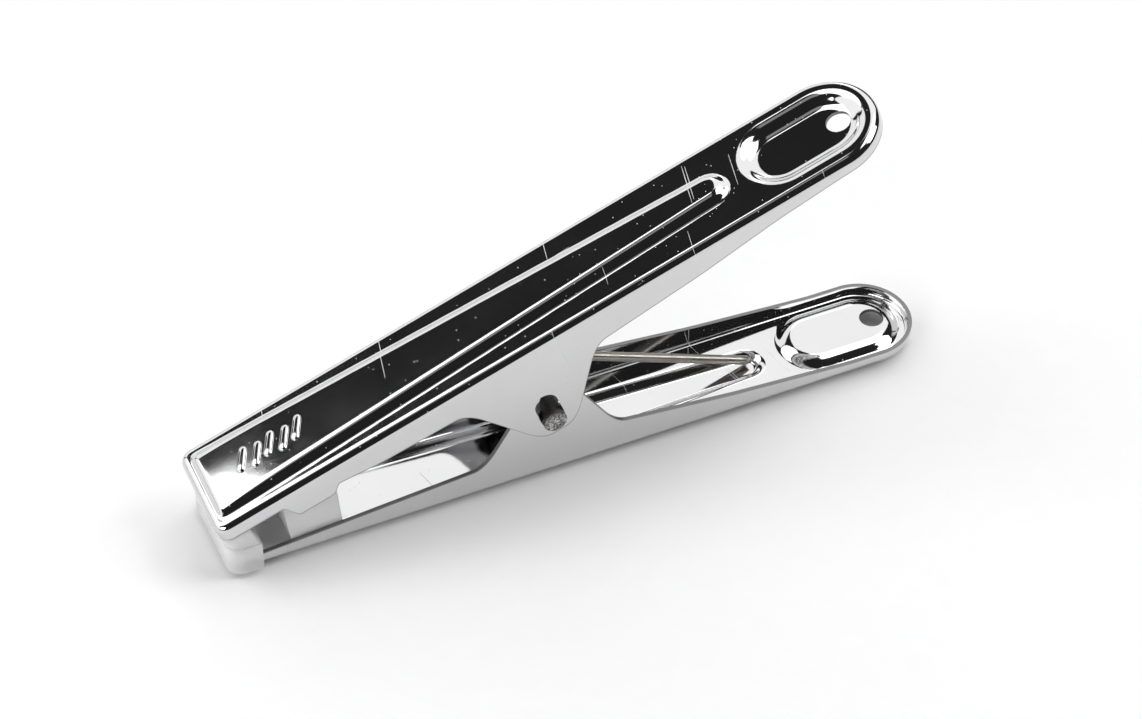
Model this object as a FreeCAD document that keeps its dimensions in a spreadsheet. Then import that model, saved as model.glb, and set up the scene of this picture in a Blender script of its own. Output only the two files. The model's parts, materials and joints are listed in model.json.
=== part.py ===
"""Sprung clothespin: two stamped sheet levers on a cross pin, a coil spring and two jaw inserts.

Millimetres. X runs along the lower lever towards the grips, Y across it and Z up.
The origin is on the surface that the clothespin lies on, straight below the pivot pin.
Each lever and insert is drawn in its lever's own frame: the lever's outer face is the XY
plane, the pivot crosses the Z axis and the skirts stand up. The upper lever's frame is
then turned over and tilted onto the pin.
"""
import FreeCAD, Part
import math
import os
import Sketcher
from FreeCAD import Placement, Rotation, Vector

SIZES = {
    # both levers
    "jaw_reach": 33.1,
    "grip_reach": 41.9,
    "sheet": 0.4,
    "fold_radius": 0.8,
    "jaw_corner": 1.3,
    "spread_angle": 19.9,
    # lower lever
    "lower_half_width": 5.2,
    "lower_pivot_height": 8.15,
    "lower_lobe_height": 12.3,
    "lower_lobe_crest": 1.6,
    "lower_lobe_foot": 7.0,
    "lower_jaw_skirt": 0.9,
    "lower_mid_skirt": 3.4,
    "lower_grip_skirt": 1.5,
    # upper lever, which straddles the lower one
    "side_gap": 0.05,
    "upper_pivot_depth": 10.5,
    "upper_lobe_height": 12.75,
    "upper_lobe_crest": 1.9,
    "upper_lobe_foot": 7.0,
    "upper_jaw_skirt": 1.85,
    "upper_mid_skirt": 3.6,
    "upper_grip_skirt": 1.6,
    "tab_depth": 3.8,
    "tab_front": 25.7,
    "tab_rear": 21.3,
    "tab_round": 1.1,
    "crest_round": 2.6,
    "foot_round": 2.6,
    # raised rib and thumb rest on each lever
    "rib_height": 0.7,
    "rib_front": 31.9,
    "lower_rib_half_width": 4.35,
    "upper_rib_half_width": 4.65,
    "rib_corner": 1.7,
    "rib_tip": 25.8,
    "rib_tip_radius": 2.15,
    "rib_slope": 1.4,
    "groove_inset": 0.1,
    "rest_depth": 0.85,
    "rest_radius": 4.35,
    "rest_slope": 2.2,
    "rest_start": 27.2,
    "rest_end": 40.85,
    "rest_hole_at": 37.9,
    "rest_hole_radius": 1.25,
    # pivot pin and the slot that it sits in
    "pin_radius": 1.2,
    "pin_stand_out": 0.9,
    "pin_chamfer": 0.2,
    "pin_clearance": 0.06,
    "slot_rise": 2.2,
    # coil spring
    "wire_radius": 0.47,
    "coil_radius": 1.95,
    "coil_full_turns": 2,
    "coil_pitch": 1.0,
    "arm_end": 24.2,
    "arm_end_side": 0.5,
    "wire_gap": 0.05,
    # jaw inserts
    "fit_gap": 0.04,
    "cap_front": 33.6,
    "cap_rear": 30.2,
    "cap_corner": 1.6,
    "cap_pocket": 1.3,
    "contact_height": 3.4,
    "contact_gap": 0.06,
    "bed_top": 1.0,
    "block_foot_front": 26.8,
    "block_head_front": 27.8,
    "block_foot_rear": 21.6,
    "block_head_rear": 22.2,
    "block_top": 7.6,
    "upper_block_front": 26.3,
    "upper_block_rear": 20.9,
    "insert_depth": 6.0,
}
SHEET_NAME = "Sizes"
FAR_OUT = 5.0
JOINT_SWELL = 1.06
PIVOT_LEVEL = "rib_height + lower_pivot_height"
UPPER_HALF_WIDTH = "lower_half_width + side_gap + sheet"


# ---------------------------------------------------------------- sizes and formulas

def terms_of(text):
    """Split a sum such as "jaw_reach - 2*sheet" into (factor, name) pairs."""
    sign = 1.0
    for word in text.split():
        if word in ("+", "-"):
            sign = 1.0 if word == "+" else -1.0
            continue
        if word.startswith("-"):
            sign = -sign
            word = word[1:]
        factor, star, name = word.rpartition("*")
        yield sign * (float(factor) if star else 1.0), name
        sign = 1.0


def value_of(text):
    """The number that a sum of named sizes stands for."""
    return sum(factor * (SIZES[name] if name in SIZES else float(name))
               for factor, name in terms_of(text))


def less(whole, part):
    """The sum whole - part, where both are sums themselves."""
    flipped = " ".join({"+": "-", "-": "+"}.get(word, word) for word in part.split())
    return f"{whole} - {flipped}"


def formula_of(text):
    """The same sum, written for the document's expression engine."""
    return " + ".join(f"{factor} * {SHEET_NAME}.{name}" if name in SIZES
                      else f"{factor * float(name)}"
                      for factor, name in terms_of(text))


def size_sheet(document):
    sheet = document.addObject("Spreadsheet::Sheet", SHEET_NAME)
    for row, (alias, size) in enumerate(SIZES.items(), start=1):
        sheet.set(f"A{row}", alias)
        sheet.set(f"B{row}", str(size))
        sheet.setAlias(f"B{row}", alias)
    document.recompute()


def set_size(feature, attribute, text):
    """Give a feature's property its value and bind it to the sheet."""
    setattr(feature, attribute, value_of(text))
    feature.setExpression(attribute, formula_of(text))


# ---------------------------------------------------------------- sketches

def new_sketch(body, plane, name, height="0"):
    """An empty sketch on one of the body's own origin planes, raised by height."""
    sketch = body.newObject("Sketcher::SketchObject", name)
    feature = next(item for item in body.Origin.OriginFeatures if item.Role == plane)
    sketch.AttachmentSupport = [(feature, "")]
    sketch.MapMode = "FlatFace"
    sketch.AttachmentOffset = Placement(Vector(0, 0, value_of(height)), Rotation())
    sketch.setExpression("AttachmentOffset.Base.z", formula_of(height))
    return sketch


def bind_distance(sketch, kind, geometry, point, text):
    """Fix how far a point of the sketch is from its origin, as a sum of named sizes."""
    index = sketch.addConstraint(
        Sketcher.Constraint(kind, -1, 1, geometry, point, value_of(text)))
    sketch.setExpression(f"Constraints[{index}]", formula_of(text))


def bind_radius(sketch, geometry, text):
    index = sketch.addConstraint(Sketcher.Constraint("Radius", geometry, value_of(text)))
    sketch.setExpression(f"Constraints[{index}]", formula_of(text))


def polygon(body, plane, name, corners, height="0"):
    """A closed outline of straight lines; each corner is a pair of sums of sizes."""
    sketch = new_sketch(body, plane, name, height)
    points = [Vector(value_of(x), value_of(y), 0) for x, y in corners]
    count = len(points)
    for index, point in enumerate(points):
        sketch.addGeometry(Part.LineSegment(point, points[(index + 1) % count]), False)
    for index in range(count):
        following = (index + 1) % count
        sketch.addConstraint(Sketcher.Constraint("Coincident", index, 2, following, 1))
    for index, (x, y) in enumerate(corners):
        bind_distance(sketch, "DistanceX", index, 1, x)
        bind_distance(sketch, "DistanceY", index, 1, y)
    return sketch


def rectangle(body, name, height, low_x, high_x, half_width):
    """A rectangle that the X axis divides into equal halves."""
    return polygon(body, "XY_Plane", name,
                   [(low_x, less("0", half_width)), (high_x, less("0", half_width)),
                    (high_x, half_width), (low_x, half_width)], height)


def arc(centre_x, centre_y, radius, start, end):
    circle = Part.Circle(Vector(centre_x, centre_y, 0), Vector(0, 0, 1), radius)
    return Part.ArcOfCircle(circle, start, end)


def close_with_tangents(sketch, count):
    for index in range(count):
        following = (index + 1) % count
        sketch.addConstraint(Sketcher.Constraint("Tangent", index, 2, following, 1))


def rounded_strip(body, name, height, front, half_width, corner, tip, tip_radius):
    """A tapering strip along X: rounded corners at the jaw end and a full round at the tip."""
    sketch = new_sketch(body, "XY_Plane", name, height)
    corner_r, tip_r = value_of(corner), value_of(tip_radius)
    corner_x = corner_r - value_of(front)
    corner_y = value_of(half_width) - corner_r
    tip_x = value_of(tip) - tip_r
    taper = (math.asin((tip_r - corner_r) / math.hypot(tip_x - corner_x, corner_y))
             + math.atan2(-corner_y, tip_x - corner_x))
    side = math.pi / 2 + taper
    out = Vector(math.cos(side), math.sin(side), 0)
    mirrored = Vector(out.x, -out.y, 0)
    far, near, end = (Vector(corner_x, corner_y, 0), Vector(corner_x, -corner_y, 0),
                      Vector(tip_x, 0, 0))
    forward = Vector(-corner_r, 0, 0)
    sketch.addGeometry([
        arc(tip_x, 0, tip_r, -side, side),
        Part.LineSegment(end + out * tip_r, far + out * corner_r),
        arc(corner_x, corner_y, corner_r, side, math.pi),
        Part.LineSegment(far + forward, near + forward),
        arc(corner_x, -corner_y, corner_r, math.pi, 2 * math.pi - side),
        Part.LineSegment(near + mirrored * corner_r, end + mirrored * tip_r),
    ], False)
    close_with_tangents(sketch, 6)
    sketch.addConstraint(Sketcher.Constraint("PointOnObject", 0, 3, -1))
    sketch.addConstraint(Sketcher.Constraint("Symmetric", 2, 3, 4, 3, -1))
    sketch.addConstraint(Sketcher.Constraint("Equal", 2, 4))
    bind_radius(sketch, 0, tip_radius)
    bind_radius(sketch, 2, corner)
    bind_distance(sketch, "DistanceX", 0, 3, less(tip, tip_radius))
    bind_distance(sketch, "DistanceX", 2, 3, less(corner, front))
    bind_distance(sketch, "DistanceY", 2, 3, less(half_width, corner))
    return sketch


def stadium(body, plane, name, height, start, end, radius):
    """Two half circles joined by straight sides, along the plane's first or second axis."""
    along_first = plane == "XY_Plane"
    sketch = new_sketch(body, plane, name, height)
    r = value_of(radius)
    first, last = value_of(start) + r, value_of(end) - r
    turn = 0.0 if along_first else math.pi / 2

    def place(along, across):
        return Vector(along, across, 0) if along_first else Vector(-across, along, 0)

    sketch.addGeometry([
        arc(*place(last, 0)[:2], r, turn - math.pi / 2, turn + math.pi / 2),
        Part.LineSegment(place(last, r), place(first, r)),
        arc(*place(first, 0)[:2], r, turn + math.pi / 2, turn + 3 * math.pi / 2),
        Part.LineSegment(place(first, -r), place(last, -r)),
    ], False)
    close_with_tangents(sketch, 4)
    for index in (0, 2):
        axis = -1 if along_first else -2
        sketch.addConstraint(Sketcher.Constraint("PointOnObject", index, 3, axis))
    sketch.addConstraint(Sketcher.Constraint("Equal", 0, 2))
    bind_radius(sketch, 0, radius)
    kind = "DistanceX" if along_first else "DistanceY"
    bind_distance(sketch, kind, 0, 3, less(end, radius))
    bind_distance(sketch, kind, 2, 3, f"{start} + {radius}")
    return sketch


# ---------------------------------------------------------------- features

def new_body(document, label):
    body = document.addObject("PartDesign::Body", label.title().replace("_", ""))
    body.Label = label
    return body


def pad(body, sketch, name, length, both_ways=False):
    feature = body.newObject("PartDesign::Pad", name)
    feature.Profile = sketch
    feature.Midplane = both_ways
    set_size(feature, "Length", length)
    body.Document.recompute()


def pocket(body, sketch, name, length=None, upwards=False, both_ways=False):
    """Cut a sketch out of the body: to a depth, or all the way when no length is given."""
    before = body.Shape.Volume
    feature = body.newObject("PartDesign::Pocket", name)
    feature.Profile = sketch
    feature.Reversed = upwards
    feature.Midplane = both_ways
    if length is None:
        feature.Type = "ThroughAll"
    else:
        set_size(feature, "Length", length)
    body.Document.recompute()
    if not body.Shape.Volume < before:
        raise RuntimeError(f"{body.Label}: {name} cuts nothing")


def loft(body, kind, name, base, crown):
    feature = body.newObject(f"PartDesign::{kind}Loft", name)
    feature.Profile = base
    feature.Sections = [crown]
    feature.Ruled = True
    body.Document.recompute()


def fillet(body, name, radius, chosen):
    """Round the edges of the body's present shape that the test picks out."""
    base = body.Tip
    edges = [f"Edge{number}" for number, edge in enumerate(base.Shape.Edges, start=1)
             if chosen(edge)]
    if not edges:
        raise RuntimeError(f"{body.Label}: {name} finds no edges")
    feature = body.newObject("PartDesign::Fillet", name)
    feature.Base = (base, edges)
    set_size(feature, "Radius", radius)
    body.Document.recompute()


def at_height(height):
    """A test for edges that lie wholly in one horizontal plane."""
    level = value_of(height)
    return lambda edge: (abs(edge.BoundBox.ZMin - level) < 1e-4
                         and abs(edge.BoundBox.ZMax - level) < 1e-4)


def across_at(*corners):
    """A test for edges that cross the object at the given (x, z) corners."""
    places = [(value_of(x), value_of(z)) for x, z in corners]

    def chosen(edge):
        box = edge.BoundBox
        thin = box.XLength < 1e-4 and box.ZLength < 1e-4
        return thin and any(abs(box.XMin - x) < 1e-3 and abs(box.ZMin - z) < 1e-3
                            for x, z in places)
    return chosen


def upright_at(x):
    """A test for vertical edges at one distance along the object."""
    level = value_of(x)
    return lambda edge: (edge.BoundBox.ZLength > 0.1 and edge.BoundBox.XLength < 1e-4
                         and edge.BoundBox.YLength < 1e-4
                         and abs(edge.BoundBox.XMin - level) < 1e-3)


# ---------------------------------------------------------------- levers

def lever_pan(body, half_width, lobe_height):
    """A drawn pan: flat floor, skirts all round, square jaw end and full-round grip end."""
    inner = f"{half_width} - sheet"
    plan = rounded_strip(body, "Plan", "0", "jaw_reach", half_width, "jaw_corner",
                         "grip_reach", half_width)
    pad(body, plan, "Blank", f"{lobe_height} + 1")
    fillet(body, "OuterFold", "fold_radius", at_height("0"))
    hollow = rounded_strip(body, "InnerPlan", "sheet", "jaw_reach - sheet", inner,
                           "jaw_corner - sheet", "grip_reach - sheet", inner)
    pocket(body, hollow, "Cavity", upwards=True)
    fillet(body, "InnerFold", "fold_radius - sheet", at_height("sheet"))


def trim_skirts(body, skirt_line):
    """Cut both skirts and the end walls down to a line drawn along the lever."""
    above = [(f"grip_reach + {FAR_OUT}", "20"), (f"-jaw_reach - {FAR_OUT}", "20")]
    pocket(body, polygon(body, "XZ_Plane", "SkirtLine", skirt_line + above), "Trim",
           both_ways=True)


def press_rib(body, half_width):
    """The long tapering rib, pressed outwards, with its groove on the inner side."""
    for kind, name, level, inset in (("Additive", "Rib", "0", "0"),
                                     ("Subtractive", "Groove", "sheet", "groove_inset")):
        outlines = [
            rounded_strip(body, name + place, f"{level}{drop}", f"rib_front - {inset}{slope}",
                          f"{half_width} - {inset}{slope}", f"rib_corner - {inset}{slope}",
                          f"rib_tip - {inset}{slope}", f"rib_tip_radius - {inset}{slope}")
            for place, drop, slope in (("Base", "", ""),
                                       ("Crown", " - rib_height", " - rib_slope"))]
        loft(body, kind, name, *outlines)


def press_thumb_rest(body):
    """The shallow oval dish for a thumb or finger, pressed inwards."""
    for kind, name, level in (("Additive", "RestBoss", "sheet"), ("Subtractive", "Rest", "0")):
        outlines = [
            stadium(body, "XY_Plane", name + place, f"{level}{rise}",
                    f"rest_start{inwards.format('+')}", f"rest_end{inwards.format('-')}",
                    f"rest_radius{inwards.format('-')}")
            for place, rise, inwards in (("Rim", "", ""),
                                         ("Floor", " + rest_depth", " {} rest_slope"))]
        loft(body, kind, name, *outlines)


def pierce_thumb_rest(body):
    """The small round hole near the grip end of the thumb rest."""
    sketch = new_sketch(body, "XY_Plane", "RestHolePlan")
    centre = Vector(SIZES["rest_hole_at"], 0, 0)
    sketch.addGeometry(Part.Circle(centre, Vector(0, 0, 1), SIZES["rest_hole_radius"]), False)
    sketch.addConstraint(Sketcher.Constraint("PointOnObject", 0, 3, -1))
    bind_radius(sketch, 0, "rest_hole_radius")
    bind_distance(sketch, "DistanceX", 0, 3, "rest_hole_at")
    pocket(body, sketch, "RestHole", upwards=True)


def lower_lever(document):
    body = new_body(document, "lower_lever")
    lever_pan(body, "lower_half_width", "lower_lobe_height")
    crest = [("-lower_lobe_crest", "lower_lobe_height"),
             ("lower_lobe_crest", "lower_lobe_height")]
    feet = [("-lower_lobe_foot", "lower_mid_skirt"),
            ("lower_lobe_foot", "lower_mid_skirt + 0.6")]
    trim_skirts(body, [(f"-jaw_reach - {FAR_OUT}", "lower_jaw_skirt - 0.5"), feet[0], *crest,
                       feet[1], ("20", "lower_grip_skirt + 1"), ("33", "lower_grip_skirt"),
                       (f"grip_reach + {FAR_OUT}", "lower_grip_skirt")])
    fillet(body, "CrestRound", "crest_round", across_at(*crest))
    fillet(body, "FootRound", "foot_round", across_at(*feet))
    press_rib(body, "lower_rib_half_width")
    press_thumb_rest(body)
    pierce_thumb_rest(body)
    seat = stadium(body, "XZ_Plane", "PinHole", "0",
                   "lower_pivot_height - pin_radius - 0.01",
                   "lower_pivot_height + pin_radius + slot_rise", "pin_radius + 0.01")
    pocket(body, seat, "PinSeat", both_ways=True)
    raise_by(body, "rib_height")
    return body


def upper_lever(document):
    body = new_body(document, "upper_lever")
    lever_pan(body, UPPER_HALF_WIDTH, "upper_lobe_height")
    crest = [("-upper_lobe_crest", "upper_lobe_height"),
             ("upper_lobe_crest", "upper_lobe_height")]
    feet = [("-upper_lobe_foot", "upper_mid_skirt"),
            ("upper_lobe_foot", "upper_mid_skirt + 0.8")]
    tab = [("-tab_front", "tab_depth"), ("-tab_rear", "tab_depth")]
    trim_skirts(body, [(f"-jaw_reach - {FAR_OUT}", "upper_jaw_skirt"),
                       ("-tab_front - 0.4", "upper_jaw_skirt"), *tab,
                       ("-tab_rear + 0.3", "upper_mid_skirt - 0.9"),
                       ("-tab_rear + 5", "upper_mid_skirt - 0.3"), feet[0], *crest, feet[1],
                       ("19", "upper_mid_skirt - 0.2"), ("28", "upper_grip_skirt + 0.6"),
                       ("36", "upper_grip_skirt"),
                       (f"grip_reach + {FAR_OUT}", "upper_grip_skirt")])
    fillet(body, "CrestRound", "crest_round", across_at(*crest))
    fillet(body, "FootRound", "foot_round", across_at(*feet))
    fillet(body, "TabRound", "tab_round", across_at(*tab))
    press_rib(body, "upper_rib_half_width")
    press_thumb_rest(body)
    pierce_thumb_rest(body)
    slot_width = "pin_radius + pin_clearance"
    slot = stadium(body, "XZ_Plane", "PinSlot", "0",
                   "upper_pivot_depth - slot_rise - pin_radius - pin_clearance",
                   "upper_pivot_depth + pin_radius + pin_clearance", slot_width)
    pocket(body, slot, "Slot", both_ways=True)
    return body


# ---------------------------------------------------------------- pin and spring

def pivot_pin(document):
    """A cropped length of round wire that sits at the foot of the lower lever's slots."""
    body = new_body(document, "pivot_pin")
    sketch = new_sketch(body, "XZ_Plane", "Section")
    sketch.addGeometry(Part.Circle(Vector(0, 0, 0), Vector(0, 0, 1), SIZES["pin_radius"]), False)
    sketch.addConstraint(Sketcher.Constraint("Coincident", 0, 3, -1, 1))
    bind_radius(sketch, 0, "pin_radius")
    pad(body, sketch, "Rod",
        "2*lower_half_width + 2*side_gap + 2*sheet + 2*pin_stand_out", both_ways=True)
    rod = body.Tip
    ends = [f"Edge{number}" for number, edge in enumerate(rod.Shape.Edges, start=1)
            if edge.BoundBox.YLength < 1e-4]
    chamfer = body.newObject("PartDesign::Chamfer", "CroppedEnds")
    chamfer.Base = (rod, ends)
    set_size(chamfer, "Size", "pin_chamfer")
    raise_by(body, PIVOT_LEVEL)
    return body


def tangent_angle(tip, side):
    """The angle round the coil at which an arm that ends at tip leaves it, on one side."""
    spread = math.acos(SIZES["coil_radius"] / math.hypot(tip.x, tip.z))
    return math.atan2(tip.z, tip.x) + side * spread


def spring_tips():
    """The ends of the lower and the upper arm, measured from the pivot."""
    bed = value_of("sheet - rib_height + wire_radius + wire_gap")
    tilt = math.radians(SIZES["spread_angle"])
    reach = SIZES["arm_end"]
    side = SIZES["arm_end_side"]
    rise = SIZES["upper_pivot_depth"] - bed
    lower = Vector(reach, side, bed - SIZES["lower_pivot_height"])
    upper = Vector(reach * math.cos(tilt) - rise * math.sin(tilt), -side,
                   reach * math.sin(tilt) + rise * math.cos(tilt))
    return lower, upper


def torsion_spring(document):
    """A coil round the pin, with an arm to the groove of each lever.

    The arms cross: each leaves the coil on the side away from the lever that it presses.
    """
    lower_tip, upper_tip = spring_tips()
    first = tangent_angle(lower_tip, 1)
    last = tangent_angle(upper_tip, -1) % (2 * math.pi)
    radius, wire, pitch = SIZES["coil_radius"], SIZES["wire_radius"], SIZES["coil_pitch"]
    width = pitch * ((last - first) / (2 * math.pi) + SIZES["coil_full_turns"])
    helix = Part.makeHelix(pitch, width, radius)
    tangent = Vector(0, radius, pitch / (2 * math.pi))
    section = Part.Wire([Part.makeCircle(wire, Vector(radius, 0, 0), tangent)])
    coil = Part.Wire(helix.Edges).makePipeShell([section], True, True)
    coil.rotate(Vector(0, 0, 0), Vector(1, 0, 0), 90)
    coil.rotate(Vector(0, 0, 0), Vector(0, 1, 0), -math.degrees(first))
    coil.translate(Vector(0, width / 2, 0))
    pieces = []
    for angle, side, tip in ((first, width / 2, lower_tip), (last, -width / 2, upper_tip)):
        start = Vector(radius * math.cos(angle), side, radius * math.sin(angle))
        along = tip - start
        pieces += [Part.makeSphere(wire * JOINT_SWELL, start),
                   Part.makeCylinder(wire, along.Length, start, along)]
    spring = document.addObject("Part::Feature", "TorsionSpring")
    spring.Label = "torsion_spring"
    spring.Shape = coil.multiFuse(pieces)
    raise_by(spring, PIVOT_LEVEL)
    return spring


# ---------------------------------------------------------------- jaw inserts

def lower_jaw_insert(document):
    """A moulded cap over the lower jaw, a line notch behind it and a tall rear block."""
    body = new_body(document, "lower_jaw_insert")
    cap = rectangle(body, "CapPlan", "0", "-cap_front", "-cap_rear", UPPER_HALF_WIDTH)
    pad(body, cap, "Cap", "contact_height")
    fillet(body, "CapCorners", "cap_corner", upright_at("-cap_front"))
    tip = rounded_strip(body, "TipPlan", "0", "jaw_reach + fit_gap",
                        "lower_half_width + fit_gap", "jaw_corner + fit_gap",
                        "grip_reach", "lower_half_width + fit_gap")
    pocket(body, tip, "TipSocket", "cap_pocket", upwards=True)
    front = "-jaw_reach + sheet + fit_gap"
    inner = "lower_half_width - sheet - fit_gap"
    fill = rectangle(body, "FillPlan", "sheet + fit_gap", front, "-cap_rear", inner)
    pad(body, fill, "Fill", "cap_pocket")
    bed = rectangle(body, "BedPlan", "sheet + fit_gap", front, "-block_foot_rear", inner)
    pad(body, bed, "Bed", "bed_top - sheet - fit_gap")
    block = polygon(body, "XZ_Plane", "BlockSide",
                    [("-block_foot_front", "sheet + fit_gap"),
                     ("-block_foot_rear", "sheet + fit_gap"),
                     ("-block_head_rear", "block_top"), ("-block_head_front", "block_top")])
    pad(body, block, "Block", "2*lower_half_width - 2*sheet - 2*fit_gap", both_ways=True)
    fillet(body, "FillCorners", "jaw_corner - sheet", upright_at(front))
    fillet(body, "BedFoot", "fold_radius - sheet", at_height("sheet + fit_gap"))
    raise_by(body, "rib_height")
    return body


def cutter(document, name, low_x, high_x, level):
    """A box that takes away everything below one level over a stretch of the jaw."""
    box = document.addObject("Part::Box", name)
    set_size(box, "Length", less(high_x, low_x))
    set_size(box, "Width", "4*lower_half_width")
    set_size(box, "Height", f"{level} + {FAR_OUT}")
    box.Placement.Base = Vector(value_of(low_x), value_of("-2*lower_half_width"), -FAR_OUT)
    box.setExpression("Placement.Base.x", formula_of(low_x))
    box.setExpression("Placement.Base.y", formula_of("-2*lower_half_width"))
    return box


def cut(document, name, base, tool):
    feature = document.addObject("Part::Cut", name)
    feature.Base = base
    feature.Tool = tool
    document.recompute()
    return feature


def upper_jaw_insert(document):
    """The mating insert: it fills the upper jaw down to where it meets the lower one."""
    body = new_body(document, "upper_insert_blank")
    front = "-jaw_reach + sheet + fit_gap"
    inner = "lower_half_width + side_gap - fit_gap"
    skirt_edge = "upper_jaw_skirt + fit_gap"
    bed = rectangle(body, "BedPlan", "sheet + fit_gap", front, "-upper_block_rear", inner)
    pad(body, bed, "Bed", "bed_top - sheet - fit_gap")
    fill = rectangle(body, "FillPlan", "sheet + fit_gap", front, "-cap_rear", inner)
    pad(body, fill, "Fill", skirt_edge)
    lip = rectangle(body, "LipPlan", skirt_edge, "-jaw_reach", "-cap_rear", UPPER_HALF_WIDTH)
    pad(body, lip, "Lip", less("insert_depth", skirt_edge))
    block = rectangle(body, "BlockPlan", "sheet + fit_gap", "-upper_block_front",
                      "-upper_block_rear", inner)
    pad(body, block, "Block", less("insert_depth", skirt_edge))
    fillet(body, "LipCorners", "jaw_corner", upright_at("-jaw_reach"))
    fillet(body, "FillCorners", "jaw_corner - sheet", upright_at(front))
    fillet(body, "BedFoot", "fold_radius - sheet", at_height("sheet + fit_gap"))
    turn_onto_pin(body)
    middle = "-block_head_front - 0.5"
    nose = cutter(document, "NoseCutter", f"-jaw_reach - {FAR_OUT}", middle,
                  "rib_height + contact_height + contact_gap")
    heel = cutter(document, "HeelCutter", middle, "0",
                  "rib_height + block_top + contact_gap")
    blunt = cut(document, "NoseCut", body, nose)
    insert = cut(document, "UpperJawInsert", blunt, heel)
    insert.Label = "upper_jaw_insert"
    return insert


# ---------------------------------------------------------------- whole clothespin

def raise_by(feature, level):
    feature.Placement.Base.z = value_of(level)
    feature.setExpression("Placement.Base.z", formula_of(level))


def turn_onto_pin(body):
    """Turn an upper sub-part over and tilt it by the spread angle about the pin."""
    spread = f"{SHEET_NAME}.spread_angle"
    depth = f"{SHEET_NAME}.upper_pivot_depth"
    tilt = math.radians(SIZES["spread_angle"])
    base = Vector(-SIZES["upper_pivot_depth"] * math.sin(tilt), 0,
                  value_of(PIVOT_LEVEL) + SIZES["upper_pivot_depth"] * math.cos(tilt))
    axis = Vector(math.cos(tilt / 2), 0, math.sin(tilt / 2))
    body.Placement = Placement(base, Rotation(axis, 180))
    body.setExpression("Placement.Base.x", f"-{depth} * sin({spread})")
    body.setExpression("Placement.Base.z", f"{formula_of(PIVOT_LEVEL)} + {depth} * cos({spread})")


def check_and_export(document, subparts):
    document.recompute()
    for item in document.Objects:
        if "Invalid" in item.State or "Error" in item.State:
            raise RuntimeError(f"{item.Name} failed: {item.State}")
    for subpart in subparts:
        shape = subpart.Shape
        if shape.isNull() or not shape.isValid() or len(shape.Solids) != 1:
            raise RuntimeError(f"{subpart.Label} is not one valid solid")
    os.makedirs("parts", exist_ok=True)
    for subpart in subparts:
        subpart.Shape.exportStep(f"parts/{subpart.Label}.step")
        print(f"{subpart.Label}: {subpart.Shape.Volume:.2f} mm3, {subpart.Shape.BoundBox}")


def main():
    document = FreeCAD.newDocument("Clothespin")
    size_sheet(document)
    upper = upper_lever(document)
    turn_onto_pin(upper)
    check_and_export(document, [
        lower_lever(document), upper, pivot_pin(document), torsion_spring(document),
        lower_jaw_insert(document), upper_jaw_insert(document)])


main()
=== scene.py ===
"""Looks for the stamped steel clothespin: levers, spring, pin, materials, studio and camera."""

import json
import math

import bmesh
import bpy
import numpy as np
from mathutils import Matrix, Vector, noise


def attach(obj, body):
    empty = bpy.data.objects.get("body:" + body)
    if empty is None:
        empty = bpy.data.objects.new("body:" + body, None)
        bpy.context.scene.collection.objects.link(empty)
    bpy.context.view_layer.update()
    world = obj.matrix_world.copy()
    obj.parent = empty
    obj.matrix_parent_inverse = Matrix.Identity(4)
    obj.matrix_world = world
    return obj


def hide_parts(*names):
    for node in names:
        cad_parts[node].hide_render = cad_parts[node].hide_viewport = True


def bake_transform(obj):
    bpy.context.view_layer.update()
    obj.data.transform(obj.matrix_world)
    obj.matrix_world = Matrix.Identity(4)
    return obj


MM = 0.001

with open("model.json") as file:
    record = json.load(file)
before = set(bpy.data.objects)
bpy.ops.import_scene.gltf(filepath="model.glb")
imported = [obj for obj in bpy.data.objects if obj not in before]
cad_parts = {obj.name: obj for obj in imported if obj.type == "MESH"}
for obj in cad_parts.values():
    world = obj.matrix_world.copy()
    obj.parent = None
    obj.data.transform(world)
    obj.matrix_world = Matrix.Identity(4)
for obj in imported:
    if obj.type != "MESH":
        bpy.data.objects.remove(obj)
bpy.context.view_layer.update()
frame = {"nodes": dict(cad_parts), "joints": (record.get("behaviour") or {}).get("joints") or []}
nodes = frame["nodes"]
pivot = Vector(frame["joints"][0]["pos_m"])

# Stamping sizes in millimetres. In a lever's own frame x runs towards the grips from the
# pivot, y across, and depth inwards from the pan's outer face, as the skirts do.
JAW_REACH = 33.1
GRIP_REACH = 41.9
SHEET = 0.4
FOLD = 0.8
JAW_CORNER = 1.3
SPREAD = math.radians(19.9)
LOWER_PIVOT_DEPTH = 8.15
UPPER_PIVOT_DEPTH = 10.5
RIB_HEIGHT = 0.7
RIB_FRONT = 32.1
RIB_CORNER = 1.3
RIB_TIP = 25.8
RIB_TIP_RADIUS = 2.15
RIB_SLOPE = 1.35
RIB_TOE = 0.28
RIB_FRONT_STEEPNESS = 2.0
LOWER_RIB_HALF_WIDTH = 4.35
UPPER_RIB_HALF_WIDTH = 4.65
SAG = 0.45
SAG_START = 24.0
SAG_LENGTH = 8.0
REST_DEPTH = 0.85
REST_START = 27.2
REST_END = 40.85
REST_RADIUS = 4.35
REST_SLOPE = 2.1
REST_TOE = 0.5
REST_HOLE_AT = 37.9
REST_HOLE_RADIUS = 1.25
PIN_RADIUS = 1.2
PIN_SEAT_CLEARANCE = 0.01
SLOT_RISE = 2.2
SLOT_CLEARANCE = 0.06
LOWER_HALF_WIDTH = 5.2
UPPER_HALF_WIDTH = 5.65
SKIRT_ROUNDING = 2.2
JAW_SKIRT_END = -18.0
JAW_SKIRT_ROUNDING_SHARE = 0.35

# Material slot of the faces that a cut leaves. Slot 0 is the sheet's own face.
CUT_SLOT = 1

# Edges that turn by more than these angles, in degrees, are shaded crisp.
SHEET_CREASE = 38
WIRE_CREASE = 50
MOULDED_CREASE = 35


# ---------------------------------------------------------------- meshes

def add_object(name, data):
    made = bpy.data.objects.new(name, data)
    bpy.context.scene.collection.objects.link(made)
    return made


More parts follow.
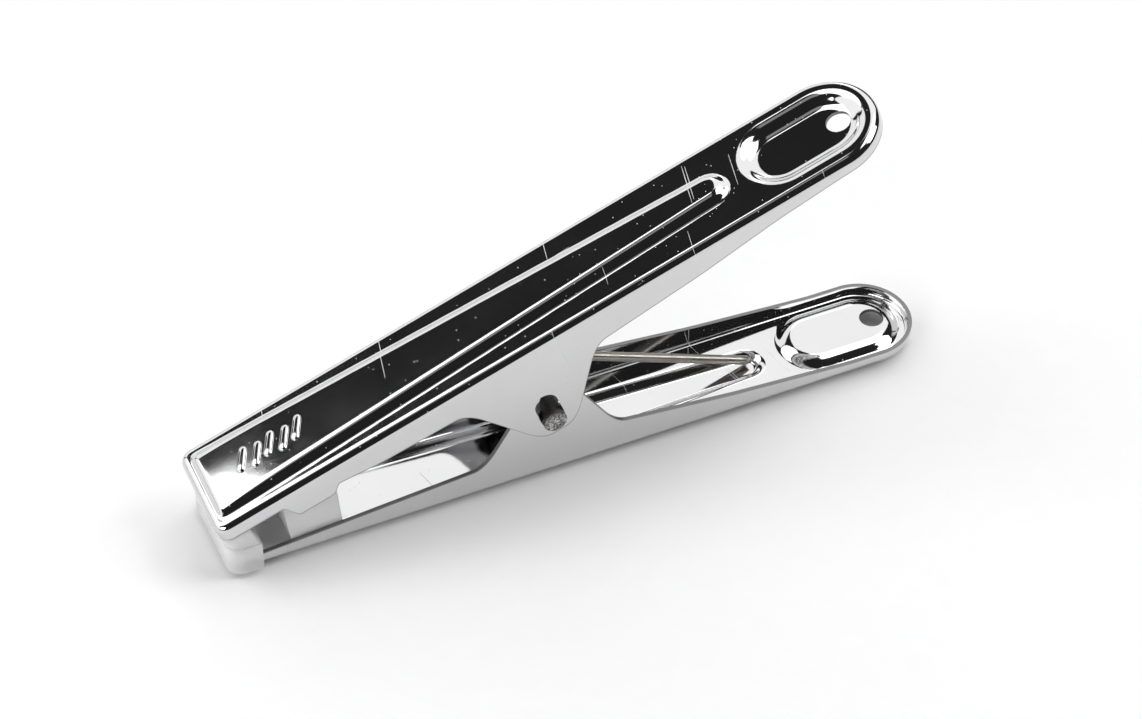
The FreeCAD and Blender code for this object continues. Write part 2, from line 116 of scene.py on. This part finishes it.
def mesh_object(name, points, faces, smooth=True, slots=0, use=0):
    """A mesh with some empty material slots, one of which all its faces use."""
    data = bpy.data.meshes.new(name)
    data.from_pydata([tuple(p) for p in points], [], faces)
    data.update()
    for _ in range(slots):
        data.materials.append(None)
    for polygon in data.polygons:
        polygon.use_smooth = smooth
        polygon.material_index = use
    return add_object(name, data)


def bake_modifiers(made, crease=None):
    """Put the modifiers' result in place of the mesh; edges past crease degrees stay crisp."""
    graph = bpy.context.evaluated_depsgraph_get()
    data = bpy.data.meshes.new_from_object(made.evaluated_get(graph))
    made.modifiers.clear()
    made.data = data
    if crease is not None:
        data.set_sharp_from_angle(angle=math.radians(crease))


def edit_mesh(made, work):
    """Run one bmesh edit on the object's mesh."""
    shape = bmesh.new()
    shape.from_mesh(made.data)
    work(shape)
    shape.to_mesh(made.data)
    shape.free()


def face_outwards(shape):
    bmesh.ops.recalc_face_normals(shape, faces=shape.faces)


def tube_faces(rings, sides, start=0):
    """Quads round a tube whose rings of points follow each other."""
    return [(start + r * sides + c, start + r * sides + (c + 1) % sides,
             start + (r + 1) * sides + (c + 1) % sides, start + (r + 1) * sides + c)
            for r in range(rings - 1) for c in range(sides)]


def end_caps(count, sides):
    """The faces that close a tube of count points at both ends."""
    return [tuple(range(sides - 1, -1, -1)), tuple(range(count - sides, count))]


# ---------------------------------------------------------------- levers

def soft_step(u, toe):
    """Height of a pressed wall, from 0 at its foot to 1 at its crown.

    A short concave toe runs into one long roll.
    """
    u = np.clip(u, 0.0, 1.0)
    return np.where(u < toe, u * u / toe, 1.0 - (1.0 - u) ** 2 / (1.0 - toe))


def inside_rib(x, y, half_width):
    """How far inside the rib's foot outline a point is."""
    tip_centre = RIB_TIP - RIB_TIP_RADIUS
    share = np.clip((x + RIB_FRONT) / (tip_centre + RIB_FRONT), 0.0, 1.0)
    side = half_width + (RIB_TIP_RADIUS - half_width) * share - np.abs(y)
    front = (x + RIB_FRONT) * RIB_FRONT_STEEPNESS
    corner = RIB_CORNER - np.hypot(np.maximum(RIB_CORNER - side, 0),
                                   np.maximum(RIB_CORNER - front, 0))
    at_corner = (side < RIB_CORNER) & (front < RIB_CORNER)
    body = np.where(at_corner, corner, np.minimum(side, front))
    tip = RIB_TIP_RADIUS - np.hypot(x - tip_centre, y)
    return np.where(x > tip_centre, tip, body)


def inside_rest(x, y):
    """How far inside the thumb rest's outline a point is."""
    nearest = np.clip(x, REST_START + REST_RADIUS, REST_END - REST_RADIUS)
    return REST_RADIUS - np.hypot(x - nearest, y)


def pressed_depth(x, y, rib_half_width):
    """Depth of the pan's outer face.

    The rib stands out and sags towards the jaw, and the thumb rest is sunk.
    """
    ahead = np.clip((-x - SAG_START) / SAG_LENGTH, 0.0, 1.0)
    crown = RIB_HEIGHT * (1.0 - SAG * ahead ** 2 * (0.5 + 0.5 * (y / rib_half_width) ** 2))
    rib = crown * soft_step(inside_rib(x, y, rib_half_width) / RIB_SLOPE, RIB_TOE)
    rest = REST_DEPTH * soft_step(inside_rest(x, y) / REST_SLOPE, REST_TOE)
    return rest - rib


def skirt_depth(x, line, window):
    """Depth of the skirt's free edge along the lever: straight cuts with rounded corners."""
    at, deep = zip(*line)
    offsets = np.linspace(-0.5, 0.5, 9)
    wide = np.where(x < JAW_SKIRT_END, JAW_SKIRT_ROUNDING_SHARE * window, window)
    return np.mean([np.interp(x + wide * o, at, deep) for o in offsets], axis=0)


def plan_stations(half_width, corner_rows=6, side_rows=240, tip_rows=26, last_turn=87):
    """Rows of the pan: place along the lever, the flat's half width and the outward turn there."""
    flat = half_width - FOLD
    corner = JAW_CORNER - FOLD
    front = FOLD - JAW_REACH
    centre = GRIP_REACH - half_width
    rows = [(front + corner * (1 - math.sin(a)), flat - corner * (1 - math.cos(a)), -a)
            for a in np.radians(np.linspace(90, 0, corner_rows))]
    rows += [(x, flat, 0.0) for x in np.linspace(front + corner, centre, side_rows)[1:]]
    rows += [(centre + flat * math.sin(a), flat * math.cos(a), a)
             for a in np.radians(np.linspace(0, last_turn, tip_rows))[1:]]
    return rows


def lever_shell(name, half_width, rib_half_width, skirt_line,
                columns=64, fold_steps=8, skirt_steps=10):
    """Outer face of a drawn lever as one sheet: pan with rib and thumb rest, fold, and skirts."""
    rows = plan_stations(half_width)
    across = np.linspace(-1, 1, columns + 1)
    points = []
    for x, wide, _ in rows:
        y = across * wide
        along = np.full_like(y, x)
        points += list(zip(along, y, pressed_depth(along, y, rib_half_width)))
    stride = columns + 1
    last = len(rows) - 1
    faces = [(r * stride + c, r * stride + c + 1, (r + 1) * stride + c + 1, (r + 1) * stride + c)
             for r in range(last) for c in range(columns)]

    turns = [(r, row[2]) for r, row in enumerate(rows) if r]
    rim = [(c, -1.0, 0.0) for c in range(stride)]
    rim += [(r * stride + columns, math.sin(turn), math.cos(turn)) for r, turn in turns]
    rim += [(last * stride + c, 1.0, 0.0) for c in range(columns - 1, 0, -1)]
    rim += [(r * stride, math.sin(turn), -math.cos(turn)) for r, turn in reversed(turns)]
    base = np.array([points[k] for k, _, _ in rim])
    out = np.array([(nx, ny) for _, nx, ny in rim])
    edge = base[:, :2] + out * FOLD
    bottom = skirt_depth(edge[:, 0], skirt_line, SKIRT_ROUNDING)
    ring = [k for k, _, _ in rim]
    levels = [(math.sin(a), FOLD * (1 - math.cos(a)), 0.0)
              for a in np.linspace(0, math.pi / 2, fold_steps + 1)[1:]]
    levels += [(1.0, FOLD, share) for share in np.linspace(0, 1, skirt_steps + 1)[1:]]
    count = len(ring)
    for reach, depth, share in levels:
        start = len(points)
        place = base[:, :2] + out * FOLD * reach
        points += list(zip(place[:, 0], place[:, 1], depth + (bottom - FOLD) * share))
        fresh = list(range(start, start + count))
        faces += [(ring[(k + 1) % count], ring[k], fresh[k], fresh[(k + 1) % count])
                  for k in range(count)]
        ring = fresh
    return mesh_object(name, points, faces, slots=2)


def store_lay(made, skirt_line=None):
    """Keep each point's place in the lever's own frame and its distance from the sheared edge.

    Both are in millimetres. Without a skirt line no point is near an edge.
    """
    flat = np.zeros(len(made.data.vertices) * 3, np.float32)
    made.data.vertices.foreach_get("co", flat)
    lay = made.data.attributes.new("lay", "FLOAT_VECTOR", "POINT")
    lay.data.foreach_set("vector", flat)
    places = flat.reshape(-1, 3)
    reach = np.full(len(places), GRIP_REACH)
    if skirt_line:
        reach = skirt_depth(places[:, 0], skirt_line, SKIRT_ROUNDING) - places[:, 2]
    rim = made.data.attributes.new("rim", "FLOAT", "POINT")
    rim.data.foreach_set("value", reach.astype(np.float32))


def prism_cutter(name, ends):
    """A closed cutter between two end outlines of equal length."""
    count = len(ends[0])
    faces = [tuple(range(count)), tuple(range(2 * count - 1, count - 1, -1))]
    faces += [((k + 1) % count, k, count + k, count + (k + 1) % count) for k in range(count)]
    made = mesh_object(name, ends[0] + ends[1], faces, smooth=False, slots=2, use=CUT_SLOT)
    edit_mesh(made, face_outwards)
    return made


def stadium_bar(name, low, high, radius, half_length=9.0, steps=20):
    """A cutter across the lever: round ends at depths low and high."""
    turn = np.linspace(-math.pi / 2, math.pi / 2, steps)
    outline = [(radius * math.sin(a), low - radius * math.cos(a)) for a in -turn]
    outline += [(radius * math.sin(a), high + radius * math.cos(a)) for a in turn]
    return prism_cutter(name, [[(x, side * half_length, z) for x, z in outline]
                               for side in (-1, 1)])


def hole_punch(name, reach=3.0, steps=40):
    """A cutter that pierces the thumb rest near its grip end."""
    turn = np.linspace(0, 2 * math.pi, steps, endpoint=False)
    outline = [(REST_HOLE_AT + REST_HOLE_RADIUS * math.cos(a), REST_HOLE_RADIUS * math.sin(a))
               for a in turn]
    return prism_cutter(name, [[(x, y, side * reach) for x, y in outline] for side in (-1, 1)])


def finish_lever(shell, skirt_line, slot, placing, body, node):
    """Thicken the sheet, cut its slots and its hole, and set the lever in place on its body."""
    wall = shell.modifiers.new("thickness", "SOLIDIFY")
    wall.thickness = SHEET
    wall.offset = -1.0
    wall.use_even_offset = True
    wall.material_offset_rim = CUT_SLOT
    bake_modifiers(shell)
    cutters = slot, hole_punch(shell.name + "_punch")
    for cutter in cutters:
        cut = shell.modifiers.new(cutter.name, "BOOLEAN")
        cut.operation = "DIFFERENCE"
        cut.solver = "EXACT"
        cut.object = cutter
    bake_modifiers(shell, crease=SHEET_CREASE)
    for cutter in cutters:
        bpy.data.objects.remove(cutter)
    store_lay(shell, skirt_line)
    shell.data.transform(placing @ Matrix.Scale(MM, 4))
    shell.data.update()
    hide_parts(node)
    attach(shell, body)
    return shell


# Free edge of each lever's skirts, from the jaw to the grips: (place along the lever, depth).
LOWER_SKIRT = [(-60, 0.9), (-38.1, 0.9), (-7.0, 3.4), (-1.6, 12.3), (1.6, 12.3), (7.0, 4.0),
               (20, 2.5), (33, 1.5), (60, 1.5)]
UPPER_SKIRT = [(-60, 1.85), (-26.1, 1.85), (-25.7, 3.8), (-21.3, 3.8), (-21.0, 2.7),
               (-16.3, 3.3), (-7.0, 3.6), (-1.9, 12.75), (1.9, 12.75), (7.0, 4.4), (19, 3.4),
               (28, 2.2), (36, 1.6), (60, 1.6)]

LOWER_PLACE = Matrix.Translation((0, 0, RIB_HEIGHT * MM))
UPPER_FOOT = Vector((-UPPER_PIVOT_DEPTH * math.sin(SPREAD), 0,
                     UPPER_PIVOT_DEPTH * math.cos(SPREAD))) * MM
TURNING_AXIS = Vector((math.cos(SPREAD / 2), 0, math.sin(SPREAD / 2)))
UPPER_PLACE = Matrix.Translation(pivot + UPPER_FOOT) @ Matrix.Rotation(math.pi, 4, TURNING_AXIS)

lower = finish_lever(
    lever_shell("lower_lever_sheet", LOWER_HALF_WIDTH, LOWER_RIB_HALF_WIDTH, LOWER_SKIRT),
    LOWER_SKIRT,
    stadium_bar("lower_cutter", LOWER_PIVOT_DEPTH, LOWER_PIVOT_DEPTH + SLOT_RISE,
                PIN_RADIUS + PIN_SEAT_CLEARANCE),
    LOWER_PLACE, "lower_side", "lower_lever")
upper = finish_lever(
    lever_shell("upper_lever_sheet", UPPER_HALF_WIDTH, UPPER_RIB_HALF_WIDTH, UPPER_SKIRT),
    UPPER_SKIRT,
    stadium_bar("upper_cutter", UPPER_PIVOT_DEPTH - SLOT_RISE, UPPER_PIVOT_DEPTH,
                PIN_RADIUS + SLOT_CLEARANCE),
    UPPER_PLACE, "upper_side", "upper_lever")


# ---------------------------------------------------------------- torsion spring

WIRE_RADIUS = 0.47
COIL_RADIUS = 1.95
COIL_TURNS = 2
COIL_PITCH = 1.0
ARM_END = 24.2
ARM_END_SIDE = 0.5
ARM_GAP = 0.05
BED = SHEET - RIB_HEIGHT + WIRE_RADIUS + ARM_GAP

# A sheared wire end, as shares of the wire's radius: (how far in from the end, radius there).
WIRE_END = (0.0, 0.8), (0.16, 0.93), (0.3, 1.0)


def arm_angle(tip, side):
    """The angle round the coil at which an arm that ends at tip leaves it, on one side."""
    spread = math.acos(COIL_RADIUS / math.hypot(tip.x, tip.z))
    return math.atan2(tip.z, tip.x) + side * spread


def spring_path(coil_points=97, arm_points=25):
    """The wire's centre line, measured from the pivot: lower arm, coil, upper arm."""
    lower_tip = Vector((ARM_END, ARM_END_SIDE, BED - LOWER_PIVOT_DEPTH))
    rise = UPPER_PIVOT_DEPTH - BED
    upper_tip = Vector((ARM_END * math.cos(SPREAD) - rise * math.sin(SPREAD), -ARM_END_SIDE,
                        ARM_END * math.sin(SPREAD) + rise * math.cos(SPREAD)))
    first = arm_angle(lower_tip, 1)
    last = arm_angle(upper_tip, -1) % (2 * math.pi) + 2 * math.pi * COIL_TURNS
    width = COIL_PITCH * (last - first) / (2 * math.pi)

    def on_coil(share):
        angle = first + (last - first) * share
        return Vector((COIL_RADIUS * math.cos(angle), width * (0.5 - share),
                       COIL_RADIUS * math.sin(angle)))

    coil = [on_coil(s) for s in np.linspace(0, 1, coil_points)]
    lower_arm = [lower_tip.lerp(coil[0], s) for s in np.linspace(0, 1, arm_points)[:-1]]
    upper_arm = [coil[-1].lerp(upper_tip, s) for s in np.linspace(0, 1, arm_points)[1:]]
    return lower_arm + coil + upper_arm


def wire_mesh(name, path, radius, sides=20):
    """A round wire along a path, with ends that are sheared flat and slightly rounded off."""
    along = [(path[1] - path[0]).normalized()]
    along += [(path[k + 1] - path[k - 1]).normalized() for k in range(1, len(path) - 1)]
    along.append((path[-1] - path[-2]).normalized())
    side = along[0].orthogonal().normalized()
    rings = []
    for k, (point, way) in enumerate(zip(path, along)):
        side = (side - way * side.dot(way)).normalized()
        other = way.cross(side)
        shapes = [(point, radius)]
        if k == 0:
            shapes = [(point + way * radius * inset, radius * share) for inset, share in WIRE_END]
        if k == len(path) - 1:
            shapes = [(point - way * radius * inset, radius * share)
                      for inset, share in reversed(WIRE_END)]
        for centre, r in shapes:
            rings.append([centre + (side * math.cos(a) + other * math.sin(a)) * r
                          for a in np.linspace(0, 2 * math.pi, sides, endpoint=False)])
    points = [p for ring in rings for p in ring]
    return mesh_object(name, points, tube_faces(len(rings), sides) + end_caps(len(points), sides))


def add_spring():
    spring = wire_mesh("torsion_spring_wire", spring_path(), WIRE_RADIUS)
    spring.data.set_sharp_from_angle(angle=math.radians(WIRE_CREASE))
    spring.data.transform(Matrix.Translation(pivot) @ Matrix.Scale(MM, 4))
    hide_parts("torsion_spring")
    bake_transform(spring)
    return spring


spring = add_spring()


# ---------------------------------------------------------------- pin, marks and inserts

PIN_HALF_LENGTH = 6.55
PIN_EDGE = 0.22
PIN_FACE_SHARES = 0.12, 0.28, 0.44, 0.6, 0.74
PIN_SHAFT_PLACES = 6.0, 5.0, 3.0
PIN_LEAN = 0.10
PIN_TEAR = 0.22


def add_pin(sides=48, edge_steps=5):
    """Cut wire: a drawn shaft whose ends were sheared, half smooth and half torn."""
    profile = [(PIN_RADIUS * share, PIN_HALF_LENGTH) for share in PIN_FACE_SHARES]
    profile += [(PIN_RADIUS - PIN_EDGE * (1 - math.sin(a)),
                 PIN_HALF_LENGTH - PIN_EDGE * (1 - math.cos(a)))
                for a in np.linspace(0, math.pi / 2, edge_steps)]
    profile += [(PIN_RADIUS, y) for y in PIN_SHAFT_PLACES]
    profile += [(r, -y) for r, y in reversed(profile)]
    points = []
    for radius, y in profile:
        for a in np.linspace(0, 2 * math.pi, sides, endpoint=False):
            x, z = radius * math.cos(a), radius * math.sin(a)
            end = max(0.0, abs(y) - PIN_HALF_LENGTH + PIN_EDGE) / PIN_EDGE
            torn = max(0.0, min(1.0, 0.5 - z / PIN_RADIUS))
            rough = 0.5 + 0.5 * noise.fractal(Vector((x, y, z)) * 2.2, 0.6, 2.0, 4)
            sunk = end * (PIN_LEAN * (1 + z / PIN_RADIUS) + PIN_TEAR * torn * rough)
            points.append((x, y - math.copysign(sunk, y), z))
    faces = tube_faces(len(profile), sides) + end_caps(len(points), sides)
    pin = mesh_object("pivot_pin_wire", points, faces)
    pin.data.transform(Matrix.Translation(pivot) @ Matrix.Scale(MM, 4))
    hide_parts("pivot_pin")
    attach(pin, "lower_side")
    return pin


def weld_marks(shape):
    bmesh.ops.remove_doubles(shape, verts=shape.verts, dist=1e-4)
    face_outwards(shape)


def add_marks(count=5, first=-27.6, pitch=1.5, stagger=0.35, shift=0.2, slant=62,
              length=3.1, radius=0.45, rise=0.22, steps=14, turns=16):
    """Plain slanting ridges pressed up near the jaw end, in the lever's own frame."""
    along = Vector((math.cos(math.radians(slant)), -math.sin(math.radians(slant)), 0))
    aside = Vector((math.sin(math.radians(slant)), math.cos(math.radians(slant)), 0))
    points, faces = [], []
    for k in range(count):
        centre = Vector((first + pitch * k, stagger * (k % 2) - shift, -RIB_HEIGHT))
        faces += tube_faces(steps + 1, turns, start=len(points))
        for step in range(steps + 1):
            share = step / steps
            reach = (share - 0.5) * length
            end = math.sqrt(max(0.0, 1 - (2 * share - 1) ** 6))
            for turn in range(turns):
                a = 2 * math.pi * turn / turns
                points.append(centre + along * reach + aside * radius * end * math.cos(a)
                              + Vector((0, 0, -rise * end * math.sin(a))))
    marks = mesh_object("jaw_end_ridges", points, faces)
    edit_mesh(marks, weld_marks)
    store_lay(marks)
    marks.data.transform(UPPER_PLACE @ Matrix.Scale(MM, 4))
    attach(marks, "upper_side")
    return marks


def join_flat_faces(shape, flat_within=1.5):
    """Weld the CAD triangles and join those that lie in one plane, to within some degrees."""
    bmesh.ops.remove_doubles(shape, verts=shape.verts, dist=1e-6)
    bmesh.ops.dissolve_limit(shape, angle_limit=math.radians(flat_within), verts=shape.verts,
                             edges=shape.edges)


def moulded(name, node, body, width=0.00022, segments=3, past=30):
    """The CAD insert with its edges rounded off, as moulded plastic has them."""
    made = add_object(name, nodes[node].data.copy())
    edit_mesh(made, join_flat_faces)
    if made.data.has_custom_normals:
        made.data.attributes.remove(made.data.attributes["custom_normal"])
    edge = made.modifiers.new("moulded_edges", "BEVEL")
    edge.width = width
    edge.segments = segments
    edge.limit_method = "ANGLE"
    edge.angle_limit = math.radians(past)
    edge.harden_normals = False
    bake_modifiers(made, crease=MOULDED_CREASE)
    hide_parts(node)
    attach(made, body)
    return made


pin = add_pin()
marks = add_marks()
lower_insert = moulded("lower_jaw_moulding", "lower_jaw_insert", "lower_side")
upper_insert = moulded("upper_jaw_moulding", "upper_jaw_insert", "upper_side")


# ---------------------------------------------------------------- node helpers

class Tree:
    """A material or world node tree with short calls for the nodes used here."""

    def __init__(self, owner):
        owner.use_nodes = True
        self.tree = owner.node_tree
        self.tree.nodes.clear()

    def node(self, kind, **inputs):
        made = self.tree.nodes.new("ShaderNode" + kind)
        for name, value in inputs.items():
            place = int(name[1:]) if name[0] == "i" and name[1:].isdigit() else name
            self.feed(made.inputs[place], value)
        return made

    def feed(self, socket, value):
        if isinstance(value, bpy.types.NodeSocket):
            self.tree.links.new(value, socket)
        else:
            socket.default_value = value

    def math(self, operation, a, b=0.0, clamp=False):
        made = self.node("Math", i0=a, i1=b)
        made.operation = operation
        made.use_clamp = clamp
        return made.outputs[0]

    def coords(self, scale=(1, 1, 1), turn=(0, 0, 0), layer=None):
        """Places on the object, turned and then scaled; layer names a stored set of places."""
        if layer:
            source = self.tree.nodes.new("ShaderNodeAttribute")
            source.attribute_name = layer
            place = source.outputs["Vector"]
        else:
            place = self.node("TexCoord").outputs["Object"]
        turned = self.node("Mapping", Vector=place, Rotation=turn).outputs[0]
        return self.node("Mapping", Vector=turned, Scale=scale).outputs[0]

    def value(self, layer):
        """A number stored on the mesh."""
        source = self.tree.nodes.new("ShaderNodeAttribute")
        source.attribute_name = layer
        return source.outputs["Fac"]

    def noise(self, coords, scale=1.0, detail=2.0, rough=0.5):
        made = self.node("TexNoise", Vector=coords, Scale=scale, Detail=detail, Roughness=rough)
        return made.outputs["Fac"]

    def span(self, value, low, high, to_low=0.0, to_high=1.0):
        return self.node("MapRange", i0=value, i1=low, i2=high, i3=to_low, i4=to_high).outputs[0]

    def blend(self, share, a, b):
        made = self.tree.nodes.new("ShaderNodeMix")
        made.data_type = "RGBA"
        self.feed(made.inputs["Factor"], share)
        self.feed(made.inputs[6], a)
        self.feed(made.inputs[7], b)
        return made.outputs[2]

    def bump(self, height, strength, distance, under=None):
        made = self.node("Bump", Height=height, Strength=strength, Distance=distance)
        if under is not None:
            self.feed(made.inputs["Normal"], under)
        return made.outputs[0]

    def scratches(self, turn, length, width, share):
        """Thin lens-shaped scratches in one direction, in a share of the cells."""
        lay = self.coords(scale=(0.9 / length, 0.9 / width, 0.05), turn=(0, 0, turn), layer="lay")
        return self.specks(lay, 1.0, 0.42, share)

    def specks(self, coords, scale, size, share):
        """Small round pits or dust, 1 inside a speck, in a share of the cells."""
        cell = self.node("TexVoronoi", Vector=coords, Scale=scale)
        near = self.math("LESS_THAN", cell.outputs["Distance"], size)
        pick = self.node("SeparateColor", Color=cell.outputs["Color"]).outputs[0]
        return self.math("MULTIPLY", near, self.math("LESS_THAN", pick, share))


def material(name):
    made = bpy.data.materials.new(name)
    tree = Tree(made)
    shader = tree.node("BsdfPrincipled")
    tree.node("OutputMaterial", Surface=shader.outputs[0])
    return made, tree, shader.inputs


def polished_steel():
    """Bright rolled stainless sheet. Its places are stored on the mesh in millimetres, as 'lay'."""
    made, t, into = material("polished_sheet_steel")
    lay = t.coords(layer="lay")
    cloud = t.noise(lay, 0.14, 4.0, 0.6)
    grain = t.noise(lay, 9.0, 3.0, 0.7)
    crossing = t.scratches(1.35, 6.0, 0.08, 0.007)
    rolling = t.scratches(0.04, 2.0, 0.04, 0.001)
    pits = t.specks(lay, 3.2, 0.16, 0.06)
    marks = t.math("MAXIMUM", t.math("MAXIMUM", crossing, rolling), pits)
    # Painted shade: within about 0.17 mm of the skirts' free edge the sheet's colour darkens
    # towards near black, standing in for the shadow line along the gap between the levers.
    edge_painted_shade = t.span(t.value("rim"), 0.05, 0.17, 0.7, 0.0)
    bright = t.blend(cloud, (0.63, 0.63, 0.635, 1), (0.69, 0.69, 0.695, 1))
    tone = t.blend(edge_painted_shade, bright, (0.12, 0.12, 0.12, 1))
    into["Metallic"].default_value = 1.0
    t.feed(into["Base Color"], t.blend(t.math("MULTIPLY", marks, 0.5), tone, (0.86, 0.86, 0.86, 1)))
    gloss = t.math("ADD", t.span(cloud, 0.3, 0.7, 0.03, 0.06), t.math("MULTIPLY", grain, 0.04))
    t.feed(into["Roughness"], t.math("ADD", gloss, t.math("MULTIPLY", marks, 0.35), clamp=True))
    waves = t.bump(t.noise(lay, 0.22, 2.0), 0.03, 0.0004)
    t.feed(into["Normal"], t.bump(marks, 0.3, 0.00003, t.bump(grain, 0.05, 0.00002, waves)))
    return made


def spring_steel():
    """Drawn wire, bright along the arms and painted near black round the coil as painted shade
    inside the levers.
    """
    made, t, into = material("drawn_spring_wire")
    cloud = t.noise(t.coords(), 500.0, 4.0, 0.6)
    drawn = t.noise(t.coords((300, 2500, 2500)), 1.0, 3.0)
    into["Metallic"].default_value = 1.0
    bright = t.blend(cloud, (0.30, 0.28, 0.25, 1), (0.50, 0.475, 0.435, 1))
    # Painted shade: within about 3 to 4.8 mm of the pivot axis the wire's colour turns near black,
    # where the coil lies in shade between the levers.
    off_pivot = t.node("VectorMath", i0=t.coords(), i1=(0, 0, pivot.z))
    off_pivot.operation = "SUBTRACT"
    from_axis = t.node("VectorMath", i0=off_pivot.outputs[0], i1=(1, 0, 1))
    from_axis.operation = "MULTIPLY"
    reach = t.node("VectorMath", i0=from_axis.outputs[0])
    reach.operation = "LENGTH"
    coil_painted_shade = t.span(reach.outputs["Value"], 0.0030, 0.0048)
    t.feed(into["Base Color"], t.blend(coil_painted_shade, (0.045, 0.042, 0.04, 1), bright))
    t.feed(into["Roughness"], t.span(drawn, 0.3, 0.7, 0.26, 0.42))
    t.feed(into["Normal"], t.bump(drawn, 0.25, 0.00004))
    return made


def sheared_edge():
    """The dull face that cutting leaves round the sheet, in the pin slots and in the holes."""
    made, t, into = material("sheared_sheet_edge")
    torn = t.noise(t.coords(layer="lay"), 6.0, 3.0, 0.7)
    into["Metallic"].default_value = 1.0
    t.feed(into["Base Color"], t.blend(torn, (0.10, 0.10, 0.10, 1), (0.30, 0.295, 0.29, 1)))
    t.feed(into["Roughness"], t.span(torn, 0.3, 0.7, 0.28, 0.5))
    t.feed(into["Normal"], t.bump(torn, 0.3, 0.00004))
    return made


def sheared_pin():
    """Wire painted near black along its shaft as painted shade in the slots, whose torn ends are
    bright and speckled.
    """
    made, t, into = material("sheared_pin_wire")
    place = t.coords()
    reach = t.math("ABSOLUTE", t.node("SeparateXYZ", Vector=place).outputs["Y"])
    end = t.span(reach, (PIN_HALF_LENGTH - PIN_EDGE) * MM, (PIN_HALF_LENGTH - PIN_EDGE / 2) * MM)
    speckle = t.span(t.noise(place, 5200.0, 3.0, 0.8), 0.42, 0.58)
    torn = t.blend(speckle, (0.05, 0.042, 0.036, 1), (0.92, 0.90, 0.87, 1))
    # Painted shade: the shaft's near black colour stands in for the shade on the pin's sides inside
    # the slots.
    drawn = t.blend(t.noise(place, 900.0, 4.0, 0.6), (0.03, 0.03, 0.03, 1), (0.12, 0.115, 0.11, 1))
    into["Metallic"].default_value = 1.0
    t.feed(into["Base Color"], t.blend(end, drawn, torn))
    t.feed(into["Roughness"], t.span(speckle, 0.0, 1.0, 0.34, 0.5))
    t.feed(into["Normal"], t.bump(speckle, 0.35, 0.00006))
    return made


def jaw_plastic():
    made, t, into = material("frosted_jaw_plastic")
    cloud = t.noise(t.coords(), 260.0, 3.0, 0.6)
    grain = t.noise(t.coords(), 2600.0, 4.0, 0.7)
    t.feed(into["Base Color"], t.blend(cloud, (0.93, 0.93, 0.935, 1), (0.98, 0.98, 0.975, 1)))
    t.feed(into["Roughness"], t.span(grain, 0.3, 0.7, 0.30, 0.42))
    into["Transmission Weight"].default_value = 0.15
    into["IOR"].default_value = 1.45
    into["Subsurface Weight"].default_value = 0.8
    into["Subsurface Radius"].default_value = (0.05, 0.05, 0.05)
    t.feed(into["Normal"], t.bump(grain, 0.08, 0.00001))
    return made


def floor_paper():
    made, t, into = material("pale_floor")
    grain = t.noise(t.coords(), 400.0, 4.0, 0.6)
    t.feed(into["Base Color"], t.blend(grain, (0.90, 0.90, 0.905, 1), (0.93, 0.93, 0.93, 1)))
    into["Roughness"].default_value = 0.75
    into["Specular IOR Level"].default_value = 0.2
    return made


def paint(made, *finishes):
    """Give the piece its finishes in the order of its material slots."""
    while len(made.data.materials) < len(finishes):
        made.data.materials.append(None)
    for place, finish in enumerate(finishes):
        made.data.materials[place] = finish


# ---------------------------------------------------------------- studio

def stage_floor(half_width=1.6):
    corners = [(x * half_width, y * half_width, 0) for x, y in ((-1, -1), (1, -1), (1, 1), (-1, 1))]
    floor = mesh_object("floor", corners, [(0, 1, 2, 3)], smooth=False)
    paint(floor, floor_paper())


def direction(azimuth, elevation):
    """Unit vector from the object. Azimuth 0 is towards the front, -Y, and 90 towards +X."""
    a, e = math.radians(azimuth), math.radians(elevation)
    return Vector((math.sin(a) * math.cos(e), -math.cos(a) * math.cos(e), math.sin(e)))


def softbox(name, azimuth, elevation, distance, width, height, power):
    light = bpy.data.lights.new(name, "AREA")
    light.shape = "RECTANGLE"
    light.size, light.size_y = width, height
    light.energy = power
    made = add_object(name, light)
    made.location = direction(azimuth, elevation) * distance
    made.rotation_mode = "QUATERNION"
    made.rotation_quaternion = direction(azimuth, elevation).to_track_quat("Z", "Y")


def studio_air(level):
    world = bpy.data.worlds.new("studio_air")
    bpy.context.scene.world = world
    t = Tree(world)
    back = t.node("Background", Color=(1, 1, 1, 1), Strength=level)
    t.node("OutputWorld", Surface=back.outputs[0])


def add_camera(target, azimuth, elevation, distance, lens):
    data = bpy.data.cameras.new("camera")
    data.lens = lens
    data.sensor_width = 36.0
    data.clip_start, data.clip_end = 0.01, 20.0
    camera = add_object("camera", data)
    back = direction(azimuth, elevation)
    camera.location = Vector(target) + back * distance
    camera.rotation_mode = "QUATERNION"
    camera.rotation_quaternion = (-back).to_track_quat("-Z", "Y")
    bpy.context.scene.camera = camera


add_camera(target=(0.00791, 0.00801, 0.0007), azimuth=-23.74, elevation=45.78,
           distance=0.3552, lens=110.33)
stage_floor()
studio_air(0.02)
softbox("back_right_box", azimuth=140, elevation=47, distance=1.2, width=1.05, height=1.0,
        power=4.2)
softbox("left_box", azimuth=-125, elevation=49, distance=1.2, width=0.78, height=0.8, power=4.3)
softbox("dim_top_box", azimuth=-92, elevation=72, distance=1.3, width=0.4, height=0.4, power=0.15)
softbox("low_left_box", azimuth=-112, elevation=18, distance=1.5, width=1.9, height=0.8, power=6.1)
softbox("low_back_box", azimuth=182, elevation=19.5, distance=1.5, width=1.5, height=0.94,
        power=5.3)
softbox("right_box", azimuth=96, elevation=67, distance=1.3, width=0.85, height=0.8, power=5.4)
softbox("front_fill_box", azimuth=70, elevation=42, distance=1.4, width=0.7, height=0.7, power=6.5)
softbox("front_left_box", azimuth=-60, elevation=24, distance=1.4, width=0.8, height=0.6, power=6)
bpy.context.scene.view_settings.view_transform = "Standard"

steel = polished_steel()
plastic = jaw_plastic()
edge = sheared_edge()
paint(lower, steel, edge)
paint(upper, steel, edge)
paint(spring, spring_steel())
paint(marks, steel)
paint(pin, sheared_pin())
paint(lower_insert, plastic)
paint(upper_insert, plastic)
